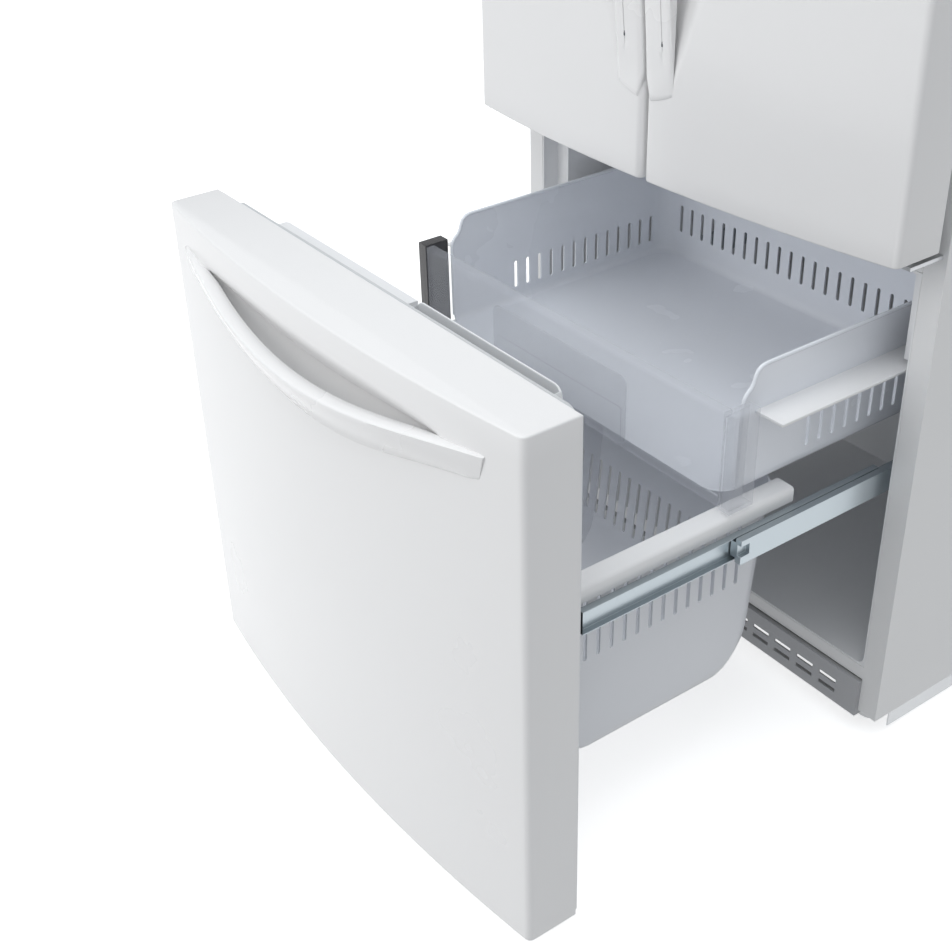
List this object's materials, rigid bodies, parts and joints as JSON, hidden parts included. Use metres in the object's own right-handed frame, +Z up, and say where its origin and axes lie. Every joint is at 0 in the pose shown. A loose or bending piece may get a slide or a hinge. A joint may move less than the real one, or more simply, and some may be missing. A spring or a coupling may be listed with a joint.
{
  "type": "french door refrigerator",
  "caption": "French door refrigerator with a bowed freezer drawer pulled out, showing its slotted basket and clear-fronted pull-out tray.",
  "frame": {"origin": "on the floor under the middle of the whole object's box, with the freezer drawer pulled out as pictured", "axes": "+X to the right of someone facing the doors, +Y from the front to the rear, +Z up"},
  "size_m": [0.756, 1.339, 1.7523],
  "materials": {
    "white_enamel": "satin enamel, faintly warm white",
    "handle_white": "satin painted, matched to the fronts",
    "liner_white": "satin vacuum-formed sheet",
    "bin_plastic": "satin, cool white, slightly translucent",
    "clear_plastic": "clear, polished",
    "smoke_plastic": "dark smoke, satin",
    "seal_vinyl": "matte, soft magnetic seal",
    "slide_steel": "zinc plated, satin",
    "bare_steel": "galvanised sheet",
    "grey_plastic": "matte",
    "black_paint": "satin black",
    "fin_aluminium": "mill finish",
    "insulation": "rigid polyurethane foam, matte",
    "shelf_glass": "clear tempered",
    "roller_nylon": "matte nylon"
  },
  "bodies": {
    "cabinet": {"cabinet_case": "white_enamel", "centre_front_rail": "white_enamel", "freezer_liner": "liner_white", "fresh_food_liner": "liner_white", "evaporator_cover": "liner_white", "light_housing": "clear_plastic", "slide_outer_left": "slide_steel", "slide_outer_right": "slide_steel", "back_panel": "bare_steel", "machine_compartment_cover": "bare_steel", "base_pan": "bare_steel", "hinge_middle_left": "bare_steel", "hinge_middle_right": "bare_steel", "hinge_top_left": "bare_steel", "hinge_top_right": "bare_steel", "levelling_leg_left": "bare_steel", "levelling_leg_right": "bare_steel", "base_grille": "grey_plastic", "condenser_fan_motor": "grey_plastic", "drain_pan": "grey_plastic", "compressor": "black_paint", "condenser": "black_paint", "evaporator": "fin_aluminium", "insulation_foam": "insulation", "crisper_cover_shelf": "shelf_glass", "glass_shelf_lower": "shelf_glass", "glass_shelf_upper": "shelf_glass"},
    "freezer_drawer": {"drawer_front": "white_enamel", "drawer_handle": "handle_white", "drawer_liner": "liner_white", "drawer_gasket": "seal_vinyl", "drawer_pocket": "bin_plastic", "freezer_basket": "bin_plastic", "slide_inner_left": "slide_steel", "slide_inner_right": "slide_steel"},
    "basket_divider": {"basket_divider": "clear_plastic"},
    "middle_slides": {"slide_middle_left": "slide_steel", "slide_middle_right": "slide_steel"},
    "pullout_tray": {"pullout_tray": "bin_plastic", "tray_front_panel": "clear_plastic", "tray_handle_insert": "clear_plastic", "tray_cap_left": "smoke_plastic", "tray_cap_right": "clear_plastic"},
    "left_door": {"door_skin_left": "white_enamel", "door_liner_left": "liner_white", "door_gasket_left": "seal_vinyl", "door_handle_left": "handle_white", "door_bin_left": "clear_plastic"},
    "right_door": {"door_skin_right": "white_enamel", "door_liner_right": "liner_white", "door_gasket_right": "seal_vinyl", "door_handle_right": "handle_white", "door_bin_right": "clear_plastic"},
    "mullion_flap": {"mullion_flap": "liner_white"},
    "crisper_left": {"crisper_left": "clear_plastic"},
    "crisper_right": {"crisper_right": "clear_plastic"},
    "condenser_fan": {"condenser_fan": "grey_plastic"},
    "evaporator_fan": {"evaporator_fan": "grey_plastic"},
    "rear_roller_left": {"rear_roller_left": "roller_nylon"},
    "rear_roller_right": {"rear_roller_right": "roller_nylon"}
  },
  "joints": [
    {"name": "freezer_drawer_slide", "type": "slide", "parent": "cabinet", "child": "freezer_drawer", "axis": [0, 1, 0], "range_m": [0, 0.504]},
    {"name": "middle_slides_slide", "type": "slide", "parent": "cabinet", "child": "middle_slides", "axis": [0, 1, 0], "range_m": [0, 0.252]},
    {"name": "pullout_tray_slide", "type": "slide", "parent": "cabinet", "child": "pullout_tray", "axis": [0, 1, 0], "range_m": [0, 0.289]},
    {"name": "basket_divider_slide", "type": "slide", "parent": "freezer_drawer", "child": "basket_divider", "axis": [1, 0, 0], "range_m": [-0.2, 0.2]},
    {"name": "crisper_left_slide", "type": "slide", "parent": "cabinet", "child": "crisper_left", "axis": [0, -1, 0], "range_m": [0, 0.075]},
    {"name": "crisper_right_slide", "type": "slide", "parent": "cabinet", "child": "crisper_right", "axis": [0, -1, 0], "range_m": [0, 0.075]},
    {"name": "left_door_hinge", "type": "hinge", "parent": "cabinet", "child": "left_door", "pos_m": [-0.36, -0.0635, 1.2], "axis": [0, 0, -1], "range_deg": [0, 110]},
    {"name": "right_door_hinge", "type": "hinge", "parent": "cabinet", "child": "right_door", "pos_m": [0.36, -0.0635, 1.2], "axis": [0, 0, 1], "range_deg": [0, 110]},
    {"name": "mullion_flap_hinge", "type": "hinge", "parent": "left_door", "child": "mullion_flap", "pos_m": [-0.02, -0.0085, 1.2], "axis": [0, 0, -1], "range_deg": [0, 90]},
    {"name": "condenser_fan_spin", "type": "hinge", "parent": "cabinet", "child": "condenser_fan", "pos_m": [0.066, 0.5595, 0.16], "axis": [1, 0, 0], "continuous": true},
    {"name": "evaporator_fan_spin", "type": "hinge", "parent": "cabinet", "child": "evaporator_fan", "pos_m": [0, 0.5155, 0.56], "axis": [0, 1, 0], "continuous": true},
    {"name": "rear_roller_left_spin", "type": "hinge", "parent": "cabinet", "child": "rear_roller_left", "pos_m": [-0.362, 0.6015, 0.022], "axis": [1, 0, 0], "continuous": true},
    {"name": "rear_roller_right_spin", "type": "hinge", "parent": "cabinet", "child": "rear_roller_right", "pos_m": [0.362, 0.6015, 0.022], "axis": [1, 0, 0], "continuous": true}
  ],
  "couplings": [
    {"joint": "middle_slides_slide", "follows": "freezer_drawer_slide", "ratio": 0.5},
    {"joint": "pullout_tray_slide", "follows": "freezer_drawer_slide", "ratio": 0.5734}
  ]
}
